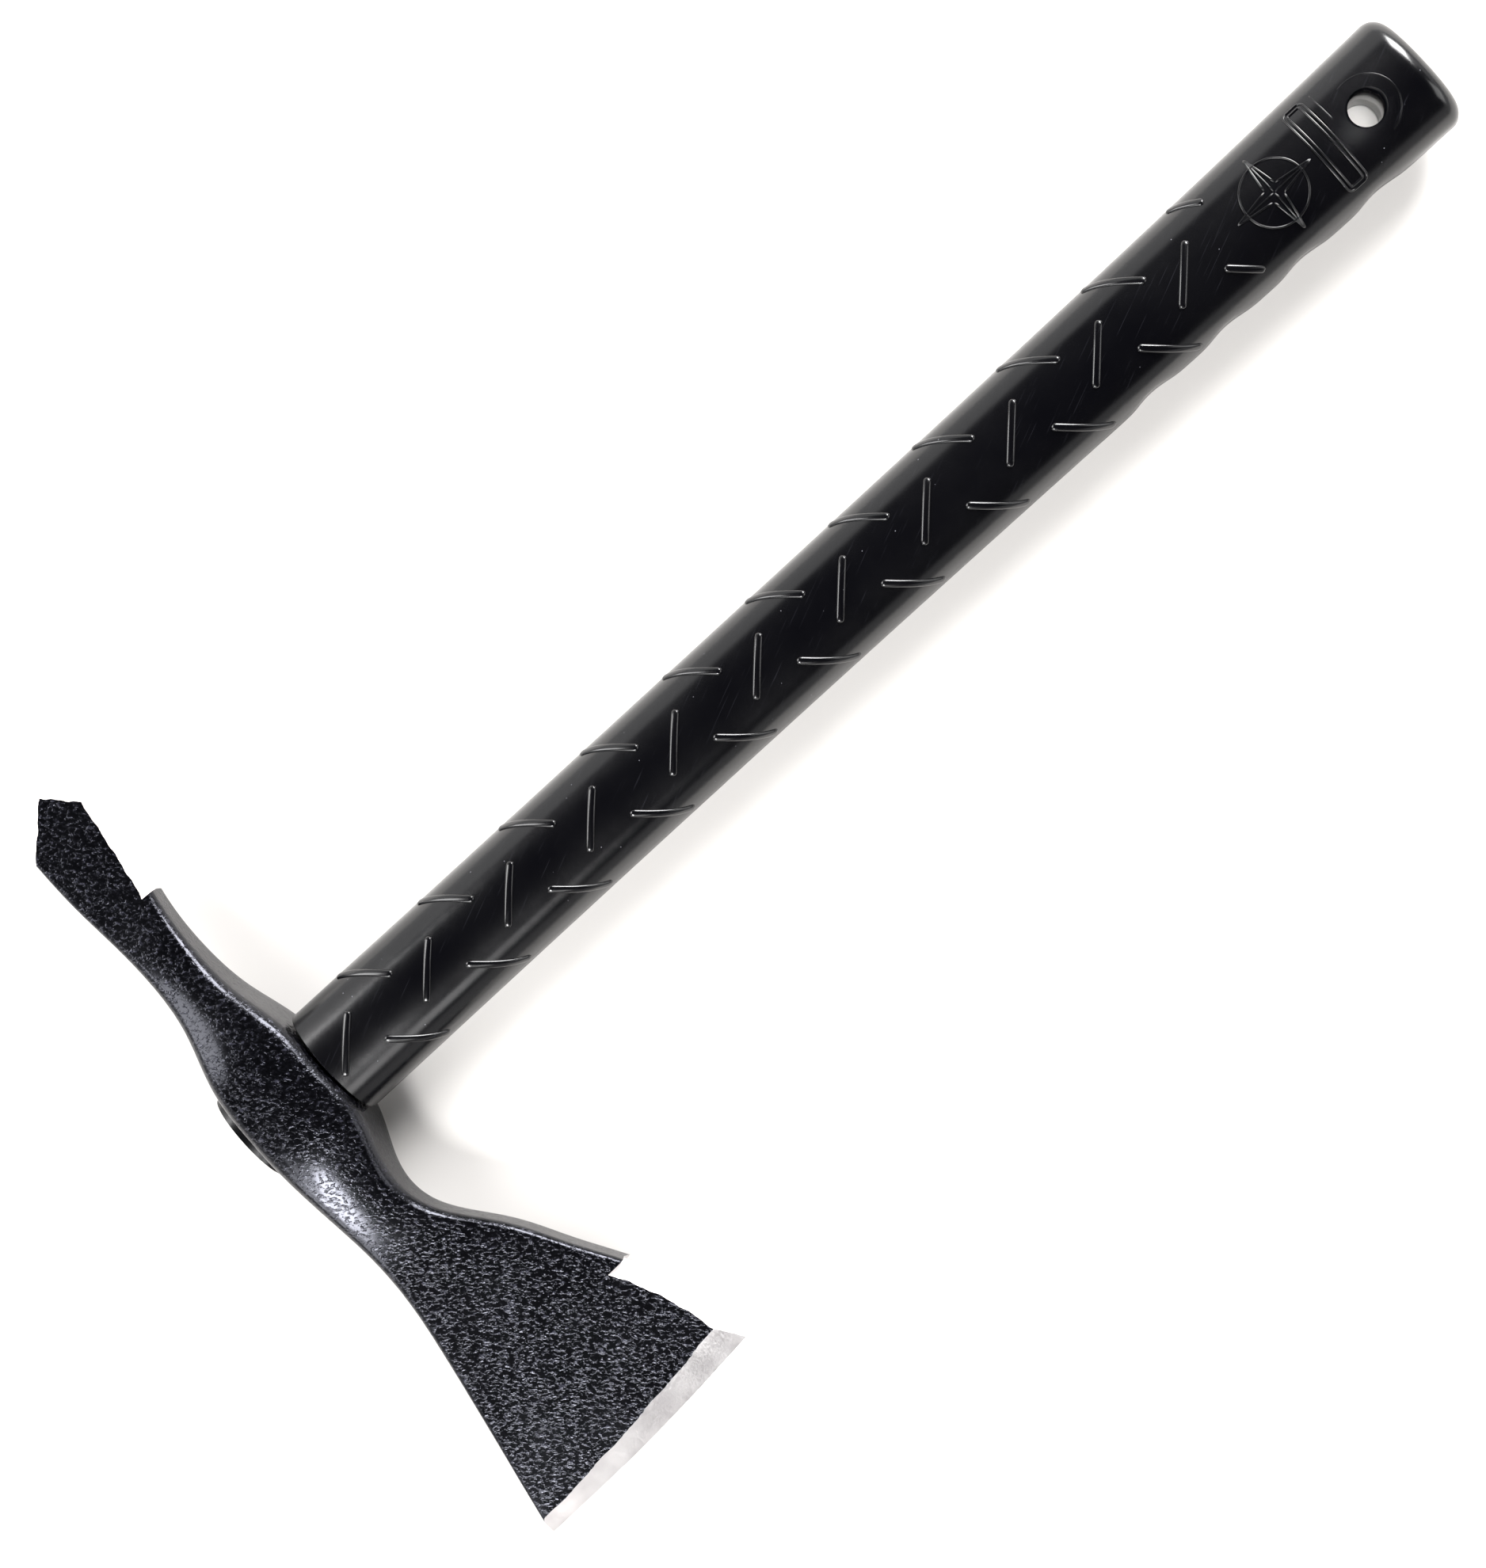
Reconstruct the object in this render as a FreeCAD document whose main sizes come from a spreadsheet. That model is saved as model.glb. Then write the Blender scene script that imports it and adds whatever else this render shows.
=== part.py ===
import FreeCAD, Part
import math
import os
import Sketcher
from FreeCAD import Vector

# Compact fire and rescue axe lying on its side: forged head, moulded handle,
# resin bond in the eye and a steel wedge.
# Working frame (mm): x = 0 at the handle's shoulder and grows towards the top
# of the head, y = 0 on the handle's axis and grows towards the cutting edge,
# z = 0 on the plane that splits the axe into its two equal faces.

doc = FreeCAD.newDocument("fire_axe")
sheet = doc.addObject("Spreadsheet::Sheet", "dims")

# A number is a size; text is a formula on the sizes above it.
dimensions = [
    # overall arrangement
    ("grip_length", 345.0),        # shoulder to butt
    ("toe_rise", 36.0),            # shoulder to the toe of the blade
    ("spike_reach", 96.7),         # handle axis to the spike's point
    ("edge_reach", 118.9),         # handle axis to the toe of the cutting edge
    ("eye_thickness", 27.0),       # the head's thickest place
    ("past_spike", 1.3),           # first head section beyond the spike's point
    ("past_edge", 7.1),            # last head section beyond the cutting edge
    ("back_pitch", "=(spike_reach + past_spike) / 7"),
    ("front_pitch", "=(edge_reach + past_edge) / 9"),
    # grip sections: full widths at four stations, how far the oval's centre
    # has moved towards the blade side at the last two, and one thickness
    ("shoulder_width", 28.8),
    ("waist_width", 28.2),
    ("palm_width", 28.7),
    ("butt_width", 31.2),
    ("shoulder_shift", 0.0),
    ("waist_shift", 0.0),
    ("palm_shift", 0.2),
    ("butt_shift", 0.3),
    ("grip_thickness", 21.5),
    ("waist_station", 125.0),
    ("palm_station", 225.0),
    ("butt_round", 4.5),
    # finger grooves on the blade side: each floor lies a little further out
    ("groove_start", 250.0),
    ("groove_pitch", 22.7),
    ("groove_floor", 14.15),
    ("groove_rise", 0.2),
    ("groove_radius", 32.0),
    # hole for a lanyard or a hook
    ("hang_hole_radius", 4.25),
    ("hang_hole_station", 327.4),
    # raised grip ribs and marks
    ("rib_width", 1.8),
    ("rib_run", 10.4),
    ("rib_pitch", 26.45),
    ("rib_height", 0.5),
    ("rib_side_rise", 8.0),
    ("centre_rib_start", 2.8),
    ("front_rib_start", 15.9),
    ("back_rib_start", 16.6),
    ("column_half_gap", 5.3),
    ("back_column_edge", 13.9),
    ("short_rib_share", 0.55),     # length of the last side ribs against a full rib
    ("mark_line", 0.7),
    ("badge_station", 300.4),
    ("badge_radius", 8.0),
    ("panel_station", 315.1),
    ("panel_length", 5.2),
    ("panel_height", 23.0),
    # tongue, eye, bond and wedge
    ("shoulder_gap", 0.8),
    ("eye_height", 24.9),
    ("tongue_proud", 1.8),
    ("eye_low_width", 23.2),
    ("eye_low_depth", 15.2),
    ("eye_top_width", 24.8),
    ("eye_top_depth", 16.8),
    ("eye_high", "=shoulder_gap + eye_height + tongue_proud"),
    ("bond_gap", 0.4),
    ("wedge_depth", 17.0),
    ("wedge_width", 17.5),
    ("wedge_top_thick", 2.6),
    ("wedge_tip_thick", 0.8),
    # ground bevels
    ("edge_flat", 0.3),
    ("bevel_height", 8.0),
]

# Head sections from behind the spike, through the eye, to past the edge:
# underside x, top x, half thickness and corner radius.
head_sections = [
    ("spike_point", 1.0, 22.1, 3.6, 1.0),
    ("spike_end", 1.6, 22.1, 4.1, 1.2),
    ("spike_mid", 2.4, 21.8, 4.8, 1.6),
    ("spike_root", 5.0, 20.5, 5.8, 2.0),
    ("back_neck", 6.0, 19.7, 7.6, 2.6),
    ("back_flare", 4.7, 20.8, 10.4, 3.2),
    ("eye_back", 1.3, 24.4, "=eye_thickness / 2 - 0.5", 3.6),
    ("eye_mid", 0.8, 25.7, "=eye_thickness / 2", 3.6),
    ("eye_front", 1.1, 25.5, "=eye_thickness / 2 - 0.5", 3.6),
    ("front_flare", 5.9, 24.8, 9.8, 3.4),
    ("front_neck", 4.2, 23.9, 7.2, 2.8),
    ("beard_root", -6.2, 24.4, 6.0, 2.2),
    ("beard", -14.6, 26.5, 5.4, 1.8),
    ("cheek", -23.0, 29.1, 4.9, 1.4),
    ("blade", -28.4, "=toe_rise - 4.1", 4.4, 1.2),
    ("blade_end", -30.4, "=toe_rise - 1.3", 3.9, 1.0),
    ("beyond_edge", -31.4, "=toe_rise + 1.3", 3.4, 1.0),
]
for name, low, top, half, corner in head_sections:
    dimensions.append((name + "_low", low))
    dimensions.append((name + "_top", top))
    dimensions.append((name + "_half", half))
    dimensions.append((name + "_round", corner))

# Ground bevels: the line that y is counted from, edge line start and end (x, y),
# paint line start and end (x, y), half thickness at the paint line, bulge radius of both lines.
bevels = [
    ("spike_end", "-spike_reach", (-8.0, 17.7), (13.0, -1.4), (-8.0, 21.0), (13.0, -0.9), 3.7, 0),
    ("spike_top", "-spike_reach", (2.0, -10.2), (34.0, 24.5), (2.0, -5.9), (34.0, 25.3), 3.7, 0),
    ("spike_under", "-spike_reach", (2.2, -2.3), (3.1, 36.9), (1.6, -2.3), (6.9, 37.3), 4.8, 0),
    ("beard_under", "edge_reach", (-20.9, -37.9), (-30.4, 3.1), (-17.2, -37.3), (-27.2, 3.1), 4.2, 75),
    ("cutting_edge", "edge_reach", (-45.0, -6.5), (50.0, 0.2), (-45.0, -13.6), (50.0, -3.4), 3.6, 700),
]
for name, line, edge0, edge1, paint0, paint1, face, bulge in bevels:
    for key, (x, y) in (("edge0", edge0), ("edge1", edge1), ("paint0", paint0), ("paint1", paint1)):
        dimensions.append(("%s_%s_x" % (name, key), x))
        dimensions.append(("%s_%s_y" % (name, key), "=%s + %s" % (line, y)))
    dimensions.append((name + "_face", face))
    if bulge:
        dimensions.append((name + "_bulge", bulge))


class Size:
    """A sheet expression together with the number it stands for now."""

    def __init__(self, text, value):
        self.text = text
        self.value = value

    def joined(self, sign, other, value):
        text = other.text if isinstance(other, Size) else str(other)
        return Size("(%s %s %s)" % (self.text, sign, text), value)

    def __add__(self, other):
        return self.joined("+", other, self.value + number(other))

    def __sub__(self, other):
        return self.joined("-", other, self.value - number(other))

    def __mul__(self, other):
        return self.joined("*", other, self.value * number(other))

    def __truediv__(self, other):
        return self.joined("/", other, self.value / number(other))

    def __neg__(self):
        return Size("(-%s)" % self.text, -self.value)


def number(other):
    return other.value if isinstance(other, Size) else other


for row, (alias, value) in enumerate(dimensions, start=1):
    sheet.set("A%d" % row, alias)
    sheet.set("B%d" % row, str(value))
    sheet.setAlias("B%d" % row, alias)
doc.recompute()
size = {alias: Size("dims." + alias, float(sheet.get(alias))) for alias, value in dimensions}
zero = Size("0", 0.0)


def new_body(name):
    """Body whose frame is moved so the axe's bounding box stands on the origin."""
    body = doc.addObject("PartDesign::Body", name)
    body.Label = name
    body.setExpression("Placement.Base.x", ((size["grip_length"] - size["toe_rise"]) / 2).text)
    body.setExpression("Placement.Base.y", ((size["spike_reach"] - size["edge_reach"]) / 2).text)
    body.setExpression("Placement.Base.z", (size["eye_thickness"] / 2).text)
    return body


def origin_part(body, role):
    """The body's own plane or axis of that role."""
    for feature in body.Origin.OriginFeatures:
        if feature.Role == role:
            return feature
    raise RuntimeError("the body has no " + role)


def new_sketch(body, name, role, offset=zero):
    """Sketch on one of the body's own planes, moved along its normal."""
    sketch = body.newObject("Sketcher::SketchObject", name)
    sketch.AttachmentSupport = (origin_part(body, role), [""])
    sketch.MapMode = "FlatFace"
    sketch.setExpression("AttachmentOffset.Base.z", offset.text)
    return sketch


def constrain(sketch, amount, kind, *elements):
    """Dimensional constraint bound to a Size."""
    index = sketch.addConstraint(Sketcher.Constraint(kind, *elements, amount.value))
    sketch.setExpression("Constraints[%d]" % index, amount.text)


def pin(sketch, geometry, end, x, y):
    """Place one point of the sketch at (x, y) from its origin."""
    constrain(sketch, x, "DistanceX", -1, 1, geometry, end)
    constrain(sketch, y, "DistanceY", -1, 1, geometry, end)


def ellipse(sketch, width, depth, shift=zero):
    """Ellipse with its width along the sketch's x and its centre moved by shift along x."""
    shape = Part.Ellipse(Vector(shift.value, 0, 0), width.value / 2, depth.value / 2)
    curve = sketch.addGeometry(shape, False)
    sketch.exposeInternalGeometry(curve)
    major, minor = curve + 1, curve + 2
    pin(sketch, curve, 3, shift, zero)
    sketch.addConstraint(Sketcher.Constraint("Horizontal", major))
    constrain(sketch, width, "Distance", major)
    constrain(sketch, depth, "Distance", minor)


def circle(sketch, x, y, radius):
    shape = Part.Circle(Vector(x.value, y.value, 0), Vector(0, 0, 1), radius.value)
    curve = sketch.addGeometry(shape, False)
    pin(sketch, curve, 3, x, y)
    constrain(sketch, radius, "Radius", curve)


def polygon(sketch, points):
    """Closed outline through (x, y) corners given as Sizes."""
    first = sketch.GeometryCount
    count = len(points)
    for i in range(count):
        x0, y0 = points[i]
        x1, y1 = points[(i + 1) % count]
        side = Part.LineSegment(Vector(x0.value, y0.value, 0), Vector(x1.value, y1.value, 0))
        sketch.addGeometry(side, False)
    for i in range(count):
        following = first + (i + 1) % count
        sketch.addConstraint(Sketcher.Constraint("Coincident", first + i, 2, following, 1))
        pin(sketch, first + i, 1, *points[i])


def rounded_section(sketch, low, top, half, corner):
    """Rounded rectangle from low to top along x, half above and below the axis."""
    x0, x1, z, r = low.value, top.value, half.value, corner.value
    turn = math.pi / 2
    corners = [(x1 - r, z - r, 0), (x0 + r, z - r, 1), (x0 + r, r - z, 2), (x1 - r, r - z, 3)]
    for cx, cy, quarter in corners:
        full = Part.Circle(Vector(cx, cy, 0), Vector(0, 0, 1), r)
        sketch.addGeometry(Part.ArcOfCircle(full, quarter * turn, (quarter + 1) * turn), False)
    sides = [((x1 - r, z), (x0 + r, z)), ((x0, z - r), (x0, r - z)),
             ((x0 + r, -z), (x1 - r, -z)), ((x1, r - z), (x1, z - r))]
    for start, stop in sides:
        sketch.addGeometry(Part.LineSegment(Vector(*start, 0), Vector(*stop, 0)), False)
    for i in range(4):
        sketch.addConstraint(Sketcher.Constraint("Tangent", i, 2, 4 + i, 1))
        sketch.addConstraint(Sketcher.Constraint("Tangent", 4 + i, 2, (i + 1) % 4, 1))
    constrain(sketch, corner, "Radius", 0)
    for i in range(1, 4):
        sketch.addConstraint(Sketcher.Constraint("Equal", 0, i))
    constrain(sketch, half, "DistanceY", -1, 1, 4, 1)
    constrain(sketch, -half, "DistanceY", -1, 1, 6, 1)
    constrain(sketch, low, "DistanceX", -1, 1, 5, 1)
    constrain(sketch, top, "DistanceX", -1, 1, 7, 1)


def loft(body, kind, name, sketches, ruled=False):
    feature = body.newObject("PartDesign::" + kind, name)
    feature.Profile = sketches[0]
    feature.Sections = sketches[1:]
    feature.Ruled = ruled
    doc.recompute()
    return feature


def prism(body, kind, name, sketch, length):
    """Pad or pocket centred on the sketch's plane."""
    feature = body.newObject("PartDesign::" + kind, name)
    feature.Profile = sketch
    feature.Midplane = True
    feature.setExpression("Length", length.text)
    doc.recompute()
    return feature


# ---- head ----
# One steel forging: a hooked spike behind the eye, a bearded blade in front.
# It is lofted along y through rounded sections, so its faces swell at the eye.

head = new_body("head")
EYE_INDEX = 7   # the section on the handle's axis
sections = []
for index, (name, *_) in enumerate(head_sections):
    pitch = size["back_pitch"] if index < EYE_INDEX else size["front_pitch"]
    station = pitch * (EYE_INDEX - index)
    sketch = new_sketch(head, name + "_section", "XZ_Plane", station)
    rounded_section(sketch, *(size[name + "_" + key] for key in ("low", "top", "half", "round")))
    sections.append(sketch)
loft(head, "AdditiveLoft", "forging", sections)

# Tapered oval eye, wider at the top so that the wedged tongue can't pull back.
eye_low = new_sketch(head, "eye_low", "YZ_Plane", zero)
ellipse(eye_low, size["eye_low_width"], size["eye_low_depth"])
eye_top = new_sketch(head, "eye_top", "YZ_Plane", size["eye_high"])
ellipse(eye_top, size["eye_top_width"], size["eye_top_depth"])
loft(head, "SubtractiveLoft", "eye", [eye_low, eye_top])


def arc_centre(start, stop, outward, radius):
    """Centre and end angles of the shallow arc that bulges outward between two points."""
    chord = stop - start
    across = (outward - chord * (outward.dot(chord) / chord.dot(chord))).normalize()
    centre = (start + stop) / 2 - across * math.sqrt(radius ** 2 - chord.Length ** 2 / 4)
    middle = math.atan2(across.y, across.x)
    half = math.asin(chord.Length / 2 / radius)
    forward = (start - centre).cross(stop - centre).z > 0
    return centre, (middle - half, middle + half) if forward else (middle + half, middle - half)


def cut_outline(sketch, start, stop, bulge, away):
    """Region outside an edge: a line or arc from start to stop, closed by three lines."""
    corners = [start, stop] + [(x + away[0], y + away[1]) for x, y in (stop, start)]
    spots = [Vector(x.value, y.value, 0) for x, y in corners]
    first, last = 1, 2
    if bulge:
        centre, angles = arc_centre(spots[0], spots[1], Vector(*away, 0), bulge.value)
        if angles[0] > angles[1]:
            first, last = 2, 1
        round_edge = Part.Circle(centre, Vector(0, 0, 1), bulge.value)
        sketch.addGeometry(Part.ArcOfCircle(round_edge, min(angles), max(angles)), False)
    else:
        sketch.addGeometry(Part.LineSegment(spots[0], spots[1]), False)
    for i in range(1, 4):
        sketch.addGeometry(Part.LineSegment(spots[i], spots[(i + 1) % 4]), False)
    sketch.addConstraint(Sketcher.Constraint("Coincident", 0, last, 1, 1))
    sketch.addConstraint(Sketcher.Constraint("Coincident", 1, 2, 2, 1))
    sketch.addConstraint(Sketcher.Constraint("Coincident", 2, 2, 3, 1))
    sketch.addConstraint(Sketcher.Constraint("Coincident", 3, 2, 0, first))
    if bulge:
        constrain(sketch, bulge, "Radius", 0)
    for i in range(4):
        geometry, end = (0, first) if i == 0 else (i, 1)
        pin(sketch, geometry, end, *corners[i])


def grind(name, away):
    """Cut one bevel into each face: from the edge line out past the paint line."""
    edge = [(size["%s_edge%d_x" % (name, i)], size["%s_edge%d_y" % (name, i)]) for i in (0, 1)]
    paint = [(size["%s_paint%d_x" % (name, i)], size["%s_paint%d_y" % (name, i)]) for i in (0, 1)]
    reach = size["bevel_height"] / size[name + "_face"]
    beyond = [tuple(e + (p - e) * reach for e, p in zip(*pair)) for pair in zip(edge, paint)]
    bulge = size.get(name + "_bulge")
    flat = size["edge_flat"] / 2
    upper = [(edge, -flat), (edge, flat), (beyond, size["bevel_height"])]
    lower = [(edge, -flat), (beyond, -size["bevel_height"])]
    for side, rows in (("upper", upper), ("lower", lower)):
        sketches = []
        for index, (line, height) in enumerate(rows):
            sketch = new_sketch(head, "%s_%s_%d" % (name, side, index), "XY_Plane", height)
            cut_outline(sketch, *line, bulge, away)
            sketches.append(sketch)
        loft(head, "SubtractiveLoft", "%s_%s" % (name, side), sketches, True)


CLEAR = 25   # how far the cuts reach out past the steel
grind("spike_end", (0, -CLEAR))
grind("spike_top", (0, -CLEAR))
grind("spike_under", (-CLEAR, 0))
grind("beard_under", (-CLEAR, 0))
grind("cutting_edge", (0, CLEAR))


# ---- handle ----
# One nylon moulding, solid: oval grip with finger grooves on the blade side,
# a shoulder that carries the head and a tongue that passes up through the eye.

grip = new_body("grip_core")


def grip_loft(body, swell, name):
    """Oval grip from the butt up to the shoulder, every side moved out by swell."""
    stations = [("butt", size["butt_round"] - size["grip_length"]), ("palm", -size["palm_station"]),
                ("waist", -size["waist_station"]), ("shoulder", zero)]
    sketches = []
    for place, station in stations:
        sketch = new_sketch(body, "%s_%s" % (name, place), "YZ_Plane", station)
        ellipse(sketch, size[place + "_width"] + swell * 2, size["grip_thickness"] + swell * 2,
                size[place + "_shift"])
        sketches.append(sketch)
    return loft(body, "AdditiveLoft", name, sketches)


grip_loft(grip, zero, "oval")

# Rounded butt: ovals that shrink along a quarter circle down to the flat end.
ovals = []
for index, share in enumerate((1.0, 0.6, 0.3, 0.1, 0.0)):
    inset = 1 - math.sqrt(1 - (1 - share) ** 2)
    station = size["butt_round"] * share - size["grip_length"]
    sketch = new_sketch(grip, "butt_%d" % index, "YZ_Plane", station)
    shrink = size["butt_round"] * (2 * inset)
    ellipse(sketch, size["butt_width"] - shrink, size["grip_thickness"] - shrink, size["butt_shift"])
    ovals.append(sketch)
loft(grip, "AdditiveLoft", "butt", ovals)


def tapered_oval(body, kind, name, inset):
    """Loft of the eye's taper, every side moved in by inset."""
    sketches = []
    shrink = inset * 2
    for end, station in (("low", zero), ("top", size["eye_high"])):
        sketch = new_sketch(body, "%s_%s" % (name, end), "YZ_Plane", station)
        ellipse(sketch, size["eye_%s_width" % end] - shrink, size["eye_%s_depth" % end] - shrink)
        sketches.append(sketch)
    return loft(body, kind, name, sketches)


# Tongue: the eye's taper less the bond all round, standing proud of the head.
tapered_oval(grip, "AdditiveLoft", "tongue", size["bond_gap"])


def wedge_outline(sketch):
    """Side of the wedge, and of the kerf that it has opened in the tongue."""
    top = size["eye_high"]
    tip = top - size["wedge_depth"]
    half_top = size["wedge_top_thick"] / 2
    half_tip = size["wedge_tip_thick"] / 2
    polygon(sketch, [(tip, -half_tip), (top, -half_top), (top, half_top), (tip, half_tip)])


kerf = new_sketch(grip, "kerf_outline", "XZ_Plane")
wedge_outline(kerf)
prism(grip, "Pocket", "kerf", kerf, size["wedge_width"])

# Finger grooves: shallow round scallops along the blade side.
GROOVES = 4
through = size["grip_thickness"] * 2
for index in range(GROOVES):
    groove = new_sketch(grip, "groove_outline_%d" % index, "XY_Plane")
    floor = size["groove_floor"] + size["groove_rise"] * index
    circle(groove, -size["groove_start"] - size["groove_pitch"] * index, floor + size["groove_radius"],
           size["groove_radius"])
    prism(grip, "Pocket", "groove_%d" % index, groove, through)

hole = new_sketch(grip, "hang_hole_outline", "XY_Plane")
circle(hole, -size["hang_hole_station"], zero, size["hang_hole_radius"])
prism(grip, "Pocket", "hang_hole", hole, through)

# Raised marks: upright prisms trimmed by a skin that lies rib_height outside the grip.
marks = new_body("mark_prisms")
marks.AllowCompound = True
skin = new_body("mark_skin")
grip_loft(skin, size["rib_height"], "skin")


def slot(sketch, x0, y0, x1, y1, width):
    """Round-ended bar between two points."""
    start, stop = Vector(x0.value, y0.value, 0), Vector(x1.value, y1.value, 0)
    along = (stop - start).normalize()
    side = Vector(-along.y, along.x, 0) * (width.value / 2)
    first = sketch.GeometryCount
    heading = math.atan2(along.y, along.x)
    half = math.pi / 2
    for centre, turn in ((stop, heading - half), (start, heading + half)):
        rim = Part.Circle(centre, Vector(0, 0, 1), width.value / 2)
        sketch.addGeometry(Part.ArcOfCircle(rim, turn, turn + math.pi), False)
    sketch.addGeometry(Part.LineSegment(stop + side, start + side), False)
    sketch.addGeometry(Part.LineSegment(start - side, stop - side), False)
    for arc, line in ((0, 2), (1, 3)):
        sketch.addConstraint(Sketcher.Constraint("Tangent", first + arc, 2, first + line, 1))
    for line, arc in ((2, 1), (3, 0)):
        sketch.addConstraint(Sketcher.Constraint("Tangent", first + line, 2, first + arc, 1))
    constrain(sketch, width, "Diameter", first)
    pin(sketch, first, 3, x1, y1)
    pin(sketch, first + 1, 3, x0, y0)


def rib_set(name, shift, side_share):
    """Pad of three ribs: one over the middle, and one towards each side of that share's length."""
    sketch = new_sketch(marks, name + "_outline", "XY_Plane")
    gap, run, width = size["column_half_gap"], size["rib_run"], size["rib_width"]
    rise = size["rib_side_rise"] * side_share
    start = -size["centre_rib_start"] - shift
    slot(sketch, start, gap, start - run, -gap, width)
    start = -size["front_rib_start"] - shift
    slot(sketch, start, gap, start - run * side_share, gap + rise, width)
    start = -size["back_rib_start"] - shift
    edge = -size["back_column_edge"]
    slot(sketch, start, edge, start - run * side_share, edge + rise, width)
    return prism(marks, "Pad", name, sketch, through)


FULL_SETS = 10
ribs = rib_set("ribs", zero, 1)
rib_row = marks.newObject("PartDesign::LinearPattern", "rib_row")
rib_row.Originals = [ribs]
rib_row.Direction = (origin_part(marks, "X_Axis"), [""])
rib_row.Reversed = True
rib_row.Occurrences = FULL_SETS
rib_row.setExpression("Length", (size["rib_pitch"] * (FULL_SETS - 1)).text)
marks.Tip = rib_row
doc.recompute()
rib_set("last_ribs", size["rib_pitch"] * FULL_SETS, size["short_rib_share"])

# Plain raised frame and ring near the butt.
frame_marks = new_sketch(marks, "frame_outline", "XY_Plane")
for inset in (zero, size["mark_line"]):
    half_x = size["panel_length"] / 2 - inset
    half_y = size["panel_height"] / 2 - inset
    middle = -size["panel_station"]
    polygon(frame_marks, [(middle - half_x, -half_y), (middle + half_x, -half_y),
                          (middle + half_x, half_y), (middle - half_x, half_y)])
    circle(frame_marks, -size["badge_station"], zero, size["badge_radius"] - inset)
prism(marks, "Pad", "frame_marks", frame_marks, through)

raised = doc.addObject("Part::MultiCommon", "raised_marks")
raised.Shapes = [skin, marks]
doc.recompute()
handle = doc.addObject("Part::MultiFuse", "handle")
handle.Label = "handle"
handle.Shapes = [grip, raised]
doc.recompute()

# ---- eye bond ----
# Cured resin sleeve between the tongue and the eye, from the head's underside to its top.

bond = new_body("eye_bond")
tapered_oval(bond, "AdditiveLoft", "sleeve", zero)
tapered_oval(bond, "SubtractiveLoft", "tongue_space", size["bond_gap"])
reach = size["eye_top_width"]
below_eye = (-size["shoulder_gap"], size["shoulder_gap"])
above_eye = (size["shoulder_gap"] + size["eye_height"], size["eye_high"] + size["tongue_proud"])
for name, (low, high) in (("below_eye", below_eye), ("above_eye", above_eye)):
    trim = new_sketch(bond, name + "_outline", "XZ_Plane")
    polygon(trim, [(low, -reach), (high, -reach), (high, reach), (low, reach)])
    prism(bond, "Pocket", name, trim, reach * 2)

# ---- wedge ----
# Mild steel wedge driven into the tongue's kerf, flush with the tongue's end.

wedge = new_body("wedge")
wedge_side = new_sketch(wedge, "wedge_side", "XZ_Plane")
wedge_outline(wedge_side)
prism(wedge, "Pad", "wedge_blank", wedge_side, size["wedge_width"])

# ---- checks and files ----

doc.recompute()
for item in doc.Objects:
    if "Invalid" in item.State or "Error" in item.State:
        raise RuntimeError("feature failed: " + item.Label)
os.makedirs("parts", exist_ok=True)
for item in (head, handle, bond, wedge):
    if item.Shape.isNull() or not item.Shape.isValid():
        raise RuntimeError("bad solid: " + item.Label)
    item.Shape.exportStep("parts/%s.step" % item.Label)
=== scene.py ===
# Compact fire and rescue axe lying on its side on a pale floor: a forged, coated
# head with bare ground edges on a straight black nylon handle.
import math

import bmesh
import bpy
import numpy as np
from mathutils import Matrix, Vector


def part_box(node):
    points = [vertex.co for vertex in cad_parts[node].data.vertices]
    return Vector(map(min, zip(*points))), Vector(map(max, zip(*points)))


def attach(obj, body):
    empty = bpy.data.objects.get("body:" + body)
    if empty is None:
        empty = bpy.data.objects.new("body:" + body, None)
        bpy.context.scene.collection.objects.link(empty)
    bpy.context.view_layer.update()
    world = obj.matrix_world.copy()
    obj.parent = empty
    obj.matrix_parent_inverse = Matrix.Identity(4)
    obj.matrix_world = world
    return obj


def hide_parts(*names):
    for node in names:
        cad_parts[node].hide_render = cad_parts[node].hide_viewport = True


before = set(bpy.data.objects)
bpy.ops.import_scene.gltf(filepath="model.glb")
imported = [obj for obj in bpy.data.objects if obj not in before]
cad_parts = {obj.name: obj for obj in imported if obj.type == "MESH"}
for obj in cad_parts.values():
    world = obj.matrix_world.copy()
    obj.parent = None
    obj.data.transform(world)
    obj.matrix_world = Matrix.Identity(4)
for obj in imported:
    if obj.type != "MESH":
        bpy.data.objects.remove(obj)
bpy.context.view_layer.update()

# ---- HEAD ----
# One drop forging in medium carbon steel: bearded blade in front of the eye,
# chisel-ended spike behind it. Its faces swell from a few millimetres at the
# edges to the thick eye, and every edge that isn't ground is rounded.

MM = 0.001
GRIP_LENGTH = 345.0
grip_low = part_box("handle")[0]
wedge_low, wedge_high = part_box("wedge")
shoulder = Vector((grip_low[0] + GRIP_LENGTH * MM,
                   (wedge_low[1] + wedge_high[1]) / 2,
                   (wedge_low[2] + wedge_high[2]) / 2))


def place(points):
    """Working millimetres (from the shoulder, the handle's axis and the mid plane) to metres."""
    return np.asarray(points, float) * MM + np.array(shoulder)


def new_piece(name, points, faces, smooth=True):
    """Mesh object from working millimetres, riding on the axe."""
    mesh = bpy.data.meshes.new(name)
    mesh.from_pydata(place(points).tolist(), [], faces)
    mesh.validate()
    mesh.shade_smooth() if smooth else mesh.shade_flat()
    piece = bpy.data.objects.new(name, mesh)
    bpy.context.scene.collection.objects.link(piece)
    return piece


def tube_faces(rings, around):
    """Quads between rings of equal count, with one many-sided cap at either end."""
    faces = []
    for i in range(rings - 1):
        for j in range(around):
            k = (j + 1) % around
            faces.append((i * around + j, i * around + k, (i + 1) * around + k, (i + 1) * around + j))
    faces.append(tuple(reversed(range(around))))
    faces.append(tuple(range((rings - 1) * around, rings * around)))
    return faces


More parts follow.
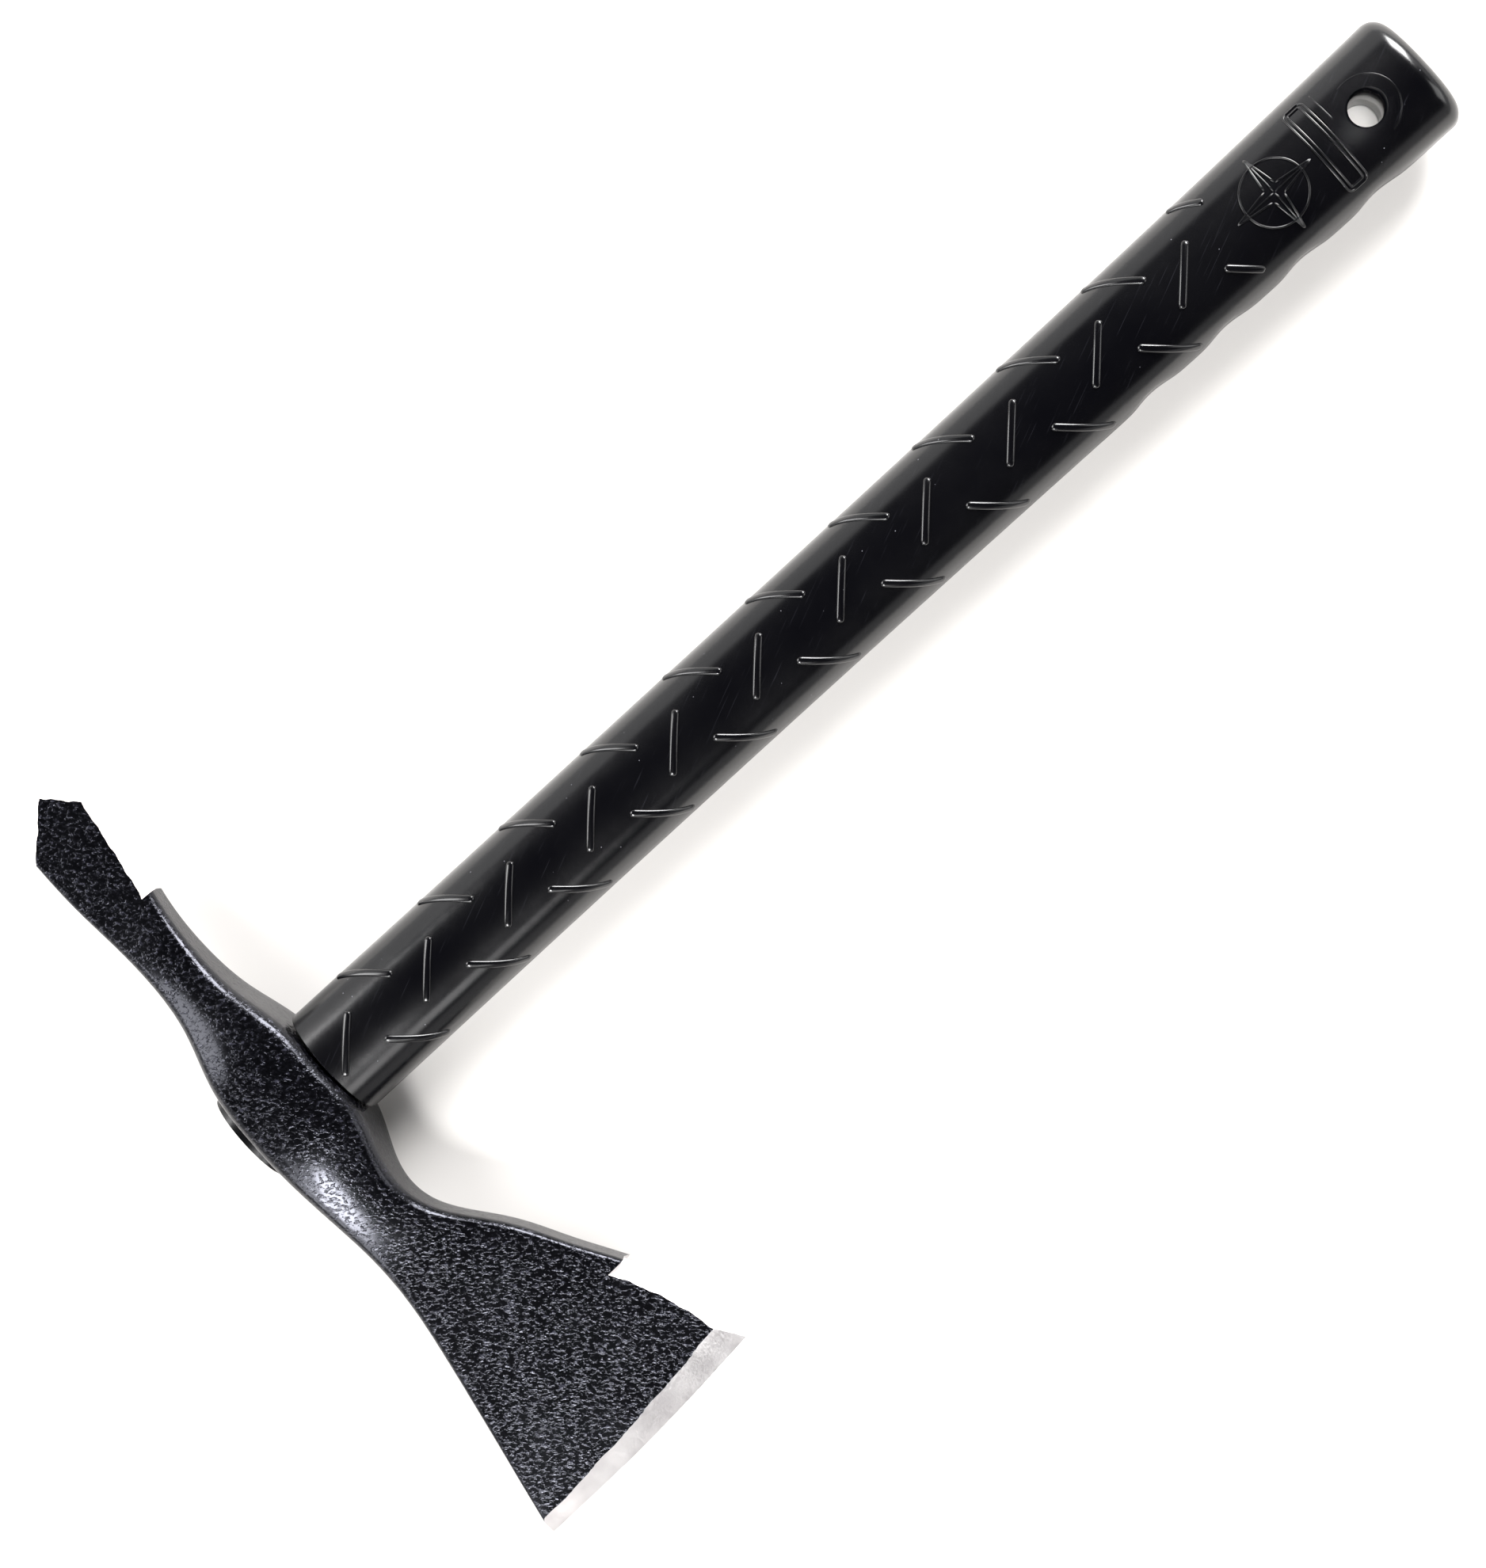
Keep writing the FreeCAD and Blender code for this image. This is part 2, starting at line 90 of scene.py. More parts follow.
def spline(values, count):
    """Smooth curve through evenly spaced values, sampled at count places."""
    values = np.asarray(values, float)
    n = len(values)
    bend = np.zeros((n, n))
    pull = np.zeros(n)
    bend[0, 0] = bend[-1, -1] = 1.0
    for i in range(1, n - 1):
        bend[i, i - 1:i + 2] = (1, 4, 1)
        pull[i] = 6 * (values[i - 1] - 2 * values[i] + values[i + 1])
    curve = np.linalg.solve(bend, pull)
    t = np.linspace(0, n - 1, count)
    i = np.minimum(t.astype(int), n - 2)
    f = t - i
    return (values[i] * (1 - f) + values[i + 1] * f
            + ((1 - f) ** 3 - (1 - f)) * curve[i] / 6 + (f ** 3 - f) * curve[i + 1] / 6)


# Sections 14 mm apart from behind the spike to past the edge (mm):
# underside, top, half thickness, corner radius. The faces are crowned by CROWN at
# the eye, which is EYE_HALF thick either way, and by less where the steel is thin.
SECTION_FIRST, SECTION_PITCH, CROWN, EYE_HALF = -98.0, 14.0, 1.0, 13.5
STATIONS, ARC_STEPS, FACE_STEPS, SIDE_STEPS = 290, 8, 24, 6
head_sections = np.array([
    (1.0, 22.1, 3.6, 1.0), (1.6, 22.1, 4.1, 1.2), (2.4, 21.8, 4.8, 1.6), (5.0, 20.5, 5.8, 2.0),
    (6.0, 19.7, 7.6, 2.6), (4.7, 20.8, 10.4, 3.2), (1.3, 24.4, 13.0, 3.6), (0.8, 25.7, 13.5, 3.6),
    (1.1, 25.5, 13.0, 3.6), (5.9, 24.8, 9.8, 3.4), (4.2, 23.9, 7.2, 2.8), (-6.2, 24.4, 6.0, 2.2),
    (-14.6, 26.5, 5.4, 1.8), (-23.0, 29.1, 4.9, 1.4), (-28.4, 31.9, 4.4, 1.2), (-30.4, 34.7, 3.9, 1.0),
    (-31.4, 37.3, 3.4, 1.0)])

low, top, half, corner = (spline(column, STATIONS) for column in head_sections.T)
station_y = SECTION_FIRST + SECTION_PITCH * np.linspace(0, len(head_sections) - 1, STATIONS)


def section_ring(low, top, half, corner):
    """Rounded rectangle in the x-z plane, its wide faces a little crowned."""
    ring = []
    sag = CROWN * (half / EYE_HALF) ** 2
    face = half
    half = half - sag
    for cx, cz, start in ((top - corner, half - corner, 0), (low + corner, half - corner, 90),
                          (low + corner, corner - half, 180), (top - corner, corner - half, 270)):
        for step in range(ARC_STEPS + 1):
            angle = math.radians(start + step * 90 / ARC_STEPS)
            ring.append((cx + corner * math.cos(angle), cz + corner * math.sin(angle)))
        if start in (0, 180):
            x0, x1 = (top - corner, low + corner) if start == 0 else (low + corner, top - corner)
            side = 1 if start == 0 else -1
            for step in range(1, FACE_STEPS):
                share = step / FACE_STEPS
                ring.append((x0 + (x1 - x0) * share, side * (face - sag * (2 * share - 1) ** 2)))
        else:
            x = low if start == 90 else top
            z0, z1 = (half - corner, corner - half) if start == 90 else (corner - half, half - corner)
            for step in range(1, SIDE_STEPS):
                ring.append((x, z0 + (z1 - z0) * step / SIDE_STEPS))
    return ring


rings = [section_ring(*row) for row in zip(low, top, half, corner)]
around = len(rings[0])
points = [(x, y, z) for y, ring in zip(station_y, rings) for x, z in ring]
head = new_piece("axe_head", points, tube_faces(STATIONS, around))

# The grinder's cuts: each runs from an edge line up to the coating's border.
# Edge start and end, border start and end (mm in the x-y plane), half thickness at
# the border, outward bulge of both lines, and the way out of the steel. The last one
# is the steeper honed facet, wide at the heel and a hairline at the toe. The borders
# sway by a tenth of a millimetre, as the grinder's hand did.
EDGE_FLAT, CUT_HEIGHT, GRIND_STEPS = 0.3, 8.0, 48
SWAY, SWAY_RATE = (0.12, 0.08), (31.0, 67.0)
grinds = [
    ((-8.0, -79.0), (13.0, -98.1), (-8.0, -75.9), (13.0, -97.6), 3.7, (0.0, -0.3), (0, -25)),
    ((2.0, -106.9), (34.0, -72.2), (2.0, -102.6), (34.0, -71.4), 3.7, (0.0, 0.0), (0, -25)),
    ((2.2, -99.0), (4.6, -59.8), (1.6, -99.0), (6.9, -59.4), 4.8, (0.0, 0.0), (-20, 0)),
    ((-20.9, 81.0), (-30.4, 122.0), (-17.2, 81.6), (-27.2, 122.0), 4.2, (2.9, 2.9), (-25, 0)),
    ((-45.0, 114.95), (50.0, 118.9), (-45.0, 105.3), (50.0, 115.5), 3.6, (0.7, 1.6), (0, 25)),
    ((-45.0, 112.6), (50.0, 119.1), (-45.0, 105.1), (50.0, 116.7), 3.6, (1.6, 1.6), (0, 25)),
]


def wedge_cutter(name, edge0, edge1, border0, border1, face, bulge, away):
    """Closed prism that takes the steel outside an edge and down both its bevels."""
    share = np.linspace(0, 1, GRIND_STEPS + 1)[:, None]
    edge = np.array(edge0) * (1 - share) + np.array(edge1) * share
    border = np.array(border0) * (1 - share) + np.array(border1) * share
    chord = np.array(edge1) - np.array(edge0)
    out = np.array(away, float) - chord * (np.dot(away, chord) / np.dot(chord, chord))
    out = out / np.linalg.norm(out)
    bow = out * 4 * share * (1 - share)
    sway = SWAY[0] * np.sin(share * SWAY_RATE[0] + face) + SWAY[1] * np.sin(share * SWAY_RATE[1])
    edge = edge + bow * bulge[0]
    border = border + bow * bulge[1] + sway * out
    beyond = edge + (border - edge) * CUT_HEIGHT / face
    far = edge + np.array(away)
    rows = []
    for line, z in ((edge, EDGE_FLAT / 2), (beyond, CUT_HEIGHT), (far, CUT_HEIGHT),
                    (far, -CUT_HEIGHT), (beyond, -CUT_HEIGHT), (edge, -EDGE_FLAT / 2)):
        rows.append(np.column_stack([line, np.full(len(line), z)]))
    points = np.stack(rows, axis=1).reshape(-1, 3)
    return new_piece(name, points, tube_faces(GRIND_STEPS + 1, 6), smooth=False)


def facing_out(piece):
    """Turn every face of a closed mesh outwards."""
    work = bmesh.new()
    work.from_mesh(piece.data)
    bmesh.ops.recalc_face_normals(work, faces=work.faces)
    work.to_mesh(piece.data)
    work.free()


def carve(piece, cutters):
    """Cut closed meshes out of a piece; the cut faces keep the cutter's material."""
    facing_out(piece)
    for cutter in cutters:
        facing_out(cutter)
        cut = piece.modifiers.new(cutter.name, "BOOLEAN")
        cut.operation = "DIFFERENCE"
        cut.solver = "EXACT"
        cut.material_mode = "TRANSFER"
        cut.object = cutter
    made = piece.evaluated_get(bpy.context.evaluated_depsgraph_get())
    mesh = bpy.data.meshes.new_from_object(made)
    piece.modifiers.clear()
    piece.data = mesh
    for cutter in cutters:
        bpy.data.objects.remove(cutter)


def colour(code):
    """sRGB hex to the linear colour that the shader takes."""
    parts = [int(code[i:i + 2], 16) / 255 for i in (1, 3, 5)]
    return tuple(c / 12.92 if c <= 0.04045 else ((c + 0.055) / 1.055) ** 2.4 for c in parts) + (1.0,)


def add(tree, kind, inputs=None, **settings):
    """Add one node; inputs maps a socket to a value or to the output that feeds it."""
    node = tree.nodes.new(kind)
    for key, value in settings.items():
        setattr(node, key, value)
    for socket, value in (inputs or {}).items():
        if isinstance(value, bpy.types.NodeSocket):
            tree.links.new(value, node.inputs[socket])
        else:
            node.inputs[socket].default_value = value
    return node


def new_material(name):
    """Empty node material with its output; returns it, its tree and the output node."""
    material = bpy.data.materials.new(name)
    material.use_nodes = True
    material.node_tree.nodes.clear()
    output = add(material.node_tree, "ShaderNodeOutputMaterial")
    return material, material.node_tree, output


def ramp(tree, factor, *stops):
    """Colour ramp; each stop is (place, hex or grey level)."""
    node = add(tree, "ShaderNodeValToRGB", {"Fac": factor})
    while len(node.color_ramp.elements) < len(stops):
        node.color_ramp.elements.new(0.5)
    for element, (place_, shade) in zip(node.color_ramp.elements, stops):
        element.position = place_
        element.color = colour(shade) if isinstance(shade, str) else (shade, shade, shade, 1.0)
    return node.outputs["Color"]


# Wrinkle-finish powder coat, sprayed and baked: a black skin of raised pebbles and
# veins about 0.8 mm across, semi-gloss, so that every crest glints and the ground
# between them stays black. The crests are also painted lighter and the hollows darker: a painted glint
# and painted shade.
powder_coat, tree, output = new_material("black_wrinkle_powder_coat")
spot = add(tree, "ShaderNodeTexCoord").outputs["Object"]
WRINKLE, WRINKLE_RUN, WRINKLE_TURN, PATCH = 0.80 * MM, 1.6, math.radians(-42), 14 * MM
veins = add(tree, "ShaderNodeMapping",
            {"Vector": spot, "Rotation": (0, 0, WRINKLE_TURN),
             "Scale": (WRINKLE_RUN * WRINKLE, WRINKLE, WRINKLE)}, vector_type="TEXTURE")
pebbles = add(tree, "ShaderNodeTexNoise", {"Vector": veins.outputs["Vector"], "Scale": 1.0,
                                           "Detail": 2.3, "Roughness": 0.62, "Distortion": 0.5})
crests = ramp(tree, pebbles.outputs["Fac"], (0.50, 0.0), (0.72, 1.0))
wrinkles = add(tree, "ShaderNodeBump", {"Strength": 1.0, "Distance": 0.064 * MM, "Height": crests})
patches = add(tree, "ShaderNodeTexNoise", {"Vector": spot, "Scale": 1 / PATCH, "Detail": 3.0})
# Painted highlight and shade: the colour follows the pebbles' height, lighter on the crests and near
# black in the hollows.
tone = ramp(tree, pebbles.outputs["Fac"], (0.42, "#030304"), (0.58, "#08080b"), (0.72, "#2a2a32"))
gloss = ramp(tree, patches.outputs["Fac"], (0.3, 0.13), (0.7, 0.19))
skin = add(tree, "ShaderNodeBsdfPrincipled", {"Base Color": tone, "Roughness": gloss,
                                              "Normal": wrinkles.outputs["Normal"], "IOR": 1.38,
                                              "Specular Tint": colour("#eef0ff")})
tree.links.new(skin.outputs["BSDF"], output.inputs["Surface"])

# Bare medium carbon steel off a grinding belt: bright, with fine scratches running
# across the edge and a faint uneven sheen where the belt was lifted.
ground_steel, tree, output = new_material("belt_ground_steel")
spot = add(tree, "ShaderNodeTexCoord").outputs["Object"]
SCRATCH, SCRATCH_RUN, SHEEN = 0.25 * MM, 24, 9 * MM
lines = add(tree, "ShaderNodeMapping",
            {"Vector": spot, "Scale": (1 / SCRATCH, 1 / (SCRATCH_RUN * SCRATCH), 1 / SCRATCH)})
scratches = add(tree, "ShaderNodeTexNoise",
                {"Vector": lines.outputs["Vector"], "Scale": 1.0, "Detail": 2.0})
sheen = add(tree, "ShaderNodeTexNoise", {"Vector": spot, "Scale": 1 / SHEEN, "Detail": 2.0})
tone = ramp(tree, sheen.outputs["Fac"], (0.3, "#d8d4d5"), (0.7, "#f8f5f5"))
gloss = ramp(tree, scratches.outputs["Fac"], (0.3, 0.30), (0.7, 0.46))
grooves = add(tree, "ShaderNodeBump", {"Strength": 0.35, "Distance": 0.04 * MM,
                                       "Height": scratches.outputs["Fac"]})
skin = add(tree, "ShaderNodeBsdfPrincipled", {"Base Color": tone, "Metallic": 1.0, "Roughness": gloss,
                                              "Normal": grooves.outputs["Normal"]})
tree.links.new(skin.outputs["BSDF"], output.inputs["Surface"])

# Tapered oval eye that the handle's tongue fills; the cutter runs out at both ends.
EYE_LOW, EYE_TOP, EYE_HIGH, EYE_STEPS, EYE_RUN_OUT = (23.2, 15.2), (24.8, 16.8), 27.5, 64, 2.0
points = []
for x in (-EYE_RUN_OUT, EYE_HIGH + EYE_RUN_OUT):
    for i in range(EYE_STEPS):
        angle = 2 * math.pi * i / EYE_STEPS
        width, depth = (a + (b - a) * x / EYE_HIGH for a, b in zip(EYE_LOW, EYE_TOP))
        points.append((x, width / 2 * math.cos(angle), depth / 2 * math.sin(angle)))
eye = new_piece("eye_cut", points, tube_faces(2, EYE_STEPS))
eye.data.materials.append(powder_coat)

head.data.materials.append(powder_coat)
cutters = []
for number, grind in enumerate(grinds):
    cutter = wedge_cutter("grind_%d" % number, *grind)
    cutter.data.materials.append(ground_steel)
    cutters.append(cutter)
carve(head, cutters + [eye])
head.data.set_sharp_from_angle(angle=math.radians(22))
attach(head, "root")
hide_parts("head")

# ---- HANDLE ----
# One solid moulding in glass-filled nylon: oval grip with raised diagonal ribs on
# both faces, finger grooves towards the blade, a square shoulder under the head
# and a tongue through the eye. The butt is rounded and moulded with a hole for a cord.

GRIP_HALF_THICK, BUTT_ROUND, BUTT_FLATTEN, BUTT_DISH, CORNER_FILL = 10.75, 4.5, 0.89, 0.5, 0.03
BUTT_START = BUTT_ROUND - GRIP_LENGTH
blade_curve = np.polyfit((0, -60, -125, -180, -225, -262, -307, BUTT_START),
                         (14.50, 14.22, 14.10, 14.28, 14.66, 15.08, 15.52, 15.95), 4)
back_curve = np.polyfit((0, -60, -125, -180, -225, -258, -300, BUTT_START),
                        (14.50, 14.25, 14.10, 14.08, 14.15, 14.32, 14.80, 15.55), 4)
GROOVE_FIRST, GROOVE_PITCH, GROOVES, GROOVE_DEPTH = -238.6, 22.75, 4, 0.92
GROOVE_SOFT, GROOVE_MARGIN, SEAM_HEIGHT = 0.25, 0.6, 0.1


def groove_depth(x):
    """How far the finger grooves cut in from the blade side at x."""
    phase = (GROOVE_FIRST - np.asarray(x, float)) / GROOVE_PITCH
    inside = (phase > 0) & (phase < GROOVES)
    return np.where(inside, GROOVE_DEPTH * (0.5 - 0.5 * np.cos(2 * math.pi * phase)), 0.0)


def grip_surface(x, turn, inset=0.0):
    """Grip's skin at x; turn runs from the upper face's middle towards the blade side."""
    reach = np.maximum(x, BUTT_START)
    half = np.where(np.sin(turn) > 0, np.polyval(blade_curve, reach), np.polyval(back_curve, reach))
    half = half - inset
    fill = 1 + CORNER_FILL * np.sin(2 * turn) ** 2
    y = half * np.sin(turn) * fill
    z = (GRIP_HALF_THICK - inset) * np.cos(turn) * fill
    limit = half + GROOVE_MARGIN - groove_depth(x) * (1 + GROOVE_MARGIN / GROOVE_DEPTH)
    y = np.where(y > 0, -GROOVE_SOFT * np.logaddexp(-y / GROOVE_SOFT, -limit / GROOVE_SOFT), y)
    return np.stack(np.broadcast_arrays(x, y, z), axis=-1)


AROUND = 144
turns = np.linspace(0, 2 * math.pi, AROUND, endpoint=False)
rows = []
for share in (0.0, 0.35, 0.7):
    inset = GRIP_HALF_THICK - (GRIP_HALF_THICK - BUTT_ROUND) * share - 0.15
    rows.append(grip_surface(np.full(AROUND, BUTT_DISH * share ** 2 - GRIP_LENGTH), turns, inset))
for angle in np.radians(np.linspace(0, 90, 10)):
    x = BUTT_START - BUTT_ROUND * math.cos(angle) * BUTT_FLATTEN
    rows.append(grip_surface(np.full(AROUND, x), turns, BUTT_ROUND * (1 - math.sin(angle))))
for x in np.linspace(-339.5, -0.25, 285):
    rows.append(grip_surface(np.full(AROUND, x), turns))
for row in rows:
    row[AROUND // 4, 1] += SEAM_HEIGHT
    row[3 * AROUND // 4, 1] -= SEAM_HEIGHT
rows.append(grip_surface(np.full(AROUND, 0.0), turns, 0.25))
BOND_GAP = 0.4
for x in (0.0, EYE_HIGH):
    width, depth = (a + (b - a) * x / EYE_HIGH - 2 * BOND_GAP for a, b in zip(EYE_LOW, EYE_TOP))
    oval = (np.full(AROUND, x), width / 2 * np.sin(turns), depth / 2 * np.cos(turns))
    rows.append(np.stack(oval, axis=-1))
handle = new_piece("handle_moulding", np.concatenate(rows), tube_faces(len(rows), AROUND))

# The cord hole has a rounded mouth on both faces; the kerf holds the wedge.
HOLE_STATION, HOLE_RADIUS, HOLE_STEPS = -327.4, 4.25, 64
points = []
for z, radius in ((-12.0, 6.4), (-10.9, 5.1), (-10.3, 4.55), (-9.8, HOLE_RADIUS),
                  (9.8, HOLE_RADIUS), (10.3, 4.55), (10.9, 5.1), (12.0, 6.4)):
    for turn in np.linspace(0, 2 * math.pi, HOLE_STEPS, endpoint=False):
        points.append((HOLE_STATION + radius * math.cos(turn), radius * math.sin(turn), z))
hole = new_piece("hole_cut", points, tube_faces(8, HOLE_STEPS))
WEDGE_DEPTH, WEDGE_WIDTH, WEDGE_TOP, WEDGE_TIP = 17.0, 17.5, 2.6, 0.8
points = []
for x, thick in ((EYE_HIGH - WEDGE_DEPTH, WEDGE_TIP), (EYE_HIGH + 1.0, WEDGE_TOP + 0.1)):
    points += [(x, side * WEDGE_WIDTH / 2, face * thick / 2)
               for side, face in ((-1, -1), (1, -1), (1, 1), (-1, 1))]
kerf = new_piece("kerf_cut", points, tube_faces(2, 4), smooth=False)
carve(handle, [hole, kerf])

SKIN_TURN, SKIN_STEPS, NUDGE, NUDGE_TURN = 1.75, 281, 0.05, 0.002


def on_skin(x, along, lift):
    """Point of the upper face that lies along (mm) round from its middle, lifted off the skin."""
    steps = np.linspace(-SKIN_TURN, SKIN_TURN, SKIN_STEPS)
    ring = grip_surface(np.full(SKIN_STEPS, x), steps)
    run = np.concatenate([[0], np.cumsum(np.linalg.norm(np.diff(ring, axis=0), axis=1))])
    turn = float(np.interp(along + run[SKIN_STEPS // 2], run, steps))
    spot = grip_surface(x, turn)
    out = np.cross(grip_surface(x + NUDGE, turn) - spot, grip_surface(x, turn + NUDGE_TURN) - spot)
    return spot + out / np.linalg.norm(out) * lift


BEAD_SINK, BEAD_SHARES = 0.15, (-1.0, -0.97, -0.8, -0.5, 0.0, 0.5, 0.8, 0.97, 1.0)
bead_points, bead_faces = [], []


def bead(path, width, height, closed=False):
    """Raised round-topped line on both faces of the grip, along (x, distance round) points."""
    path = np.asarray(path, float)
    count = len(path)
    ahead = np.roll(path, -1, axis=0) - np.roll(path, 1, axis=0)
    if not closed:
        ahead[0], ahead[-1] = path[1] - path[0], path[-1] - path[-2]
    ahead /= np.linalg.norm(ahead, axis=1)[:, None]
    side = np.column_stack([-ahead[:, 1], ahead[:, 0]])
    length = np.concatenate([[0], np.cumsum(np.linalg.norm(np.diff(path, axis=0), axis=1))])
    first = len(bead_points)
    for i in range(count):
        end = 0.0
        if not closed:
            end = max(0.0, 1 - min(length[i], length[-1] - length[i]) / (width / 2))
        across = math.sqrt(max(1 - end ** 2, 0.0))
        for share in BEAD_SHARES:
            spot = path[i] + side[i] * share * across * width / 2
            reach = math.hypot(share * across, end)
            rise = height * max(1 - reach ** 4, 0.0) ** 0.6
            sink = BEAD_SINK if abs(share) == 1.0 or reach >= 0.999 else 0.0
            bead_points.append(on_skin(spot[0], spot[1], rise - sink))
    n = len(BEAD_SHARES)
    for i in range(count if closed else count - 1):
        k = (i + 1) % count
        for j in range(n - 1):
            here, there = first + i * n + j, first + k * n + j
            bead_faces.append((here, there, there + 1, here + 1))


# Ribs at 45 degrees in three columns: over the middle, towards the blade, towards the back.
RIB_WIDTH, RIB_HEIGHT, RIB_PITCH, RIB_SETS, SHORT_SHARE = 1.9, 0.5, 26.45, 11, 0.6
rib_ends = [((-2.3, 5.5), (-13.3, -5.9)), ((-15.4, 5.0), (-27.0, 16.6)),
            ((-15.2, -17.0), (-27.3, -5.0))]
for k in range(RIB_SETS):
    for column, (start, stop) in enumerate(rib_ends):
        start, stop = np.array(start), np.array(stop)
        if k == RIB_SETS - 1 and column:
            stop = start + (stop - start) * SHORT_SHARE
        shift = np.array([-RIB_PITCH * k, 0.0])
        ends = np.array([0.0, 0.015, 0.04, 0.075])
        share = np.concatenate([ends, np.linspace(0.11, 0.89, 16), 1 - ends[::-1]])[:, None]
        bead(start + (stop - start) * share + shift, RIB_WIDTH, RIB_HEIGHT)


def corner_path(x0, x1, s0, s1, radius):
    """Closed rounded rectangle."""
    path = []
    for cx, cs, quarter in ((x1 - radius, s1 - radius, 0), (x0 + radius, s1 - radius, 1),
                            (x0 + radius, s0 + radius, 2), (x1 - radius, s0 + radius, 3)):
        for step in range(6):
            angle = math.pi / 2 * (quarter + step / 5)
            path.append((cx + radius * math.cos(angle), cs + radius * math.sin(angle)))
    dense = []
    for a, b in zip(path, path[1:] + path[:1]):
        a, b = np.array(a), np.array(b)
        cuts = max(1, int(np.linalg.norm(b - a) / 1.2))
        dense += [a + (b - a) * i / cuts for i in range(cuts)]
    return dense


# A plain double frame and a ring with a straight-lined star, in fine raised lines.
MARK_WIDTH, MARK_HEIGHT, RAY_SHARE = 0.55, 0.3, 0.8
PANEL_STATION, PANEL_LENGTH, PANEL_HEIGHT, PANEL_CORNER, PANEL_INSET = -315.1, 5.6, 24.6, 1.5, 1.05
for inset in (0.0, PANEL_INSET):
    half_long, half_high = PANEL_LENGTH / 2 - inset, PANEL_HEIGHT / 2 - inset
    frame_line = corner_path(PANEL_STATION - half_long, PANEL_STATION + half_long,
                             -half_high, half_high, PANEL_CORNER - inset)
    bead(frame_line, MARK_WIDTH, MARK_HEIGHT, True)
BADGE_STATION, BADGE_RADIUS, STAR_RADIUS, STAR_WAIST = -299.6, 8.0, 11.2, 2.2
ring = np.linspace(0, 2 * math.pi, 72, endpoint=False)
bead(np.column_stack([BADGE_STATION + BADGE_RADIUS * np.cos(ring), BADGE_RADIUS * np.sin(ring)]),
     MARK_WIDTH, MARK_HEIGHT, True)
tips = [((STAR_RADIUS if i % 2 == 0 else STAR_WAIST), math.pi / 4 * i) for i in range(8)]
tips = [np.array([BADGE_STATION + r * math.cos(a), r * math.sin(a)]) for r, a in tips]
for i in range(8):
    share = np.linspace(0, 1, 14)[:, None]
    bead(tips[i] + (tips[(i + 1) % 8] - tips[i]) * share, MARK_WIDTH, MARK_HEIGHT)
    if i % 2 == 0:
        centre = (tips[i] + tips[(i + 4) % 8]) / 2
        bead(tips[i] + (centre - tips[i]) * share, MARK_WIDTH * RAY_SHARE, MARK_HEIGHT * RAY_SHARE)

# Witness lines left by the mould: the rim of the hole's core pin and the insert's edge.
WITNESS_WIDTH, WITNESS_HEIGHT, PIN_RADIUS, INSERT_STATION = 0.3, 0.06, 7.9, -320.2
arc = np.linspace(math.radians(95), math.radians(290), 30)
bead(np.column_stack([HOLE_STATION + PIN_RADIUS * np.cos(arc), PIN_RADIUS * np.sin(arc)]),
     WITNESS_WIDTH, WITNESS_HEIGHT)
bead(np.column_stack([np.full(20, INSERT_STATION), np.linspace(-12.0, -3.0, 20)]),
     WITNESS_WIDTH, WITNESS_HEIGHT)

upper = np.array(bead_points)
lower = upper * (1, 1, -1)
faces = [tuple(reversed(face)) for face in bead_faces]
faces += [tuple(i + len(upper) for i in face) for face in bead_faces]
beads = new_piece("raised_marks", np.concatenate([upper, lower]), faces)

# Black glass-filled nylon as it leaves the mould: a deep satin black that mirrors
# only at a slant, with a faint grain of short fibres, hair scratches and dust.
nylon, tree, output = new_material("black_glass_filled_nylon")
spot = add(tree, "ShaderNodeTexCoord").outputs["Object"]
GRAIN, SWIRL, DUST, HAIR, HAIR_TURN = 0.35 * MM, 22 * MM, 4.4 * MM, 0.22 * MM, math.radians(23)
grain = add(tree, "ShaderNodeTexNoise", {"Vector": spot, "Scale": 1 / GRAIN, "Detail": 2.0})
swirl = add(tree, "ShaderNodeTexNoise",
            {"Vector": spot, "Scale": 1 / SWIRL, "Detail": 4.0, "Roughness": 0.6})
hairs = add(tree, "ShaderNodeMapping",
            {"Vector": spot, "Rotation": (0, 0, HAIR_TURN),
             "Scale": (60 * HAIR, HAIR, 8 * HAIR)}, vector_type="TEXTURE")
scratches = add(tree, "ShaderNodeTexNoise",
                {"Vector": hairs.outputs["Vector"], "Scale": 1.0, "Detail": 1.0})
scratch = ramp(tree, scratches.outputs["Fac"], (0.70, 0.0), (0.76, 1.0))
dust = add(tree, "ShaderNodeTexVoronoi", {"Vector": spot, "Scale": 1 / DUST, "Randomness": 1.0})
specks = ramp(tree, dust.outputs["Distance"], (0.018, 1.0), (0.034, 0.0))
clean = add(tree, "ShaderNodeMixRGB",
            {"Fac": scratch, "Color1": colour("#030305"), "Color2": colour("#17171b")})
tone = add(tree, "ShaderNodeMixRGB",
           {"Fac": specks, "Color1": clean.outputs["Color"], "Color2": colour("#6d6d74")})
gloss = ramp(tree, swirl.outputs["Fac"], (0.3, 0.18), (0.7, 0.24))
texture = add(tree, "ShaderNodeBump",
              {"Strength": 0.25, "Distance": 0.02 * MM, "Height": grain.outputs["Fac"]})
waves = add(tree, "ShaderNodeBump",
            {"Strength": 0.3, "Distance": 0.25 * MM, "Height": swirl.outputs["Fac"],
             "Normal": texture.outputs["Normal"]})
skin = add(tree, "ShaderNodeBsdfPrincipled", {"Base Color": tone.outputs["Color"], "Roughness": gloss,
                                              "Normal": waves.outputs["Normal"], "IOR": 1.53})
tree.links.new(skin.outputs["BSDF"], output.inputs["Surface"])
handle.data.materials.clear()
for piece in (handle, beads):
    piece.data.materials.append(nylon)
    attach(piece, "root")
handle.data.set_sharp_from_angle(angle=math.radians(35))
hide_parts("handle")

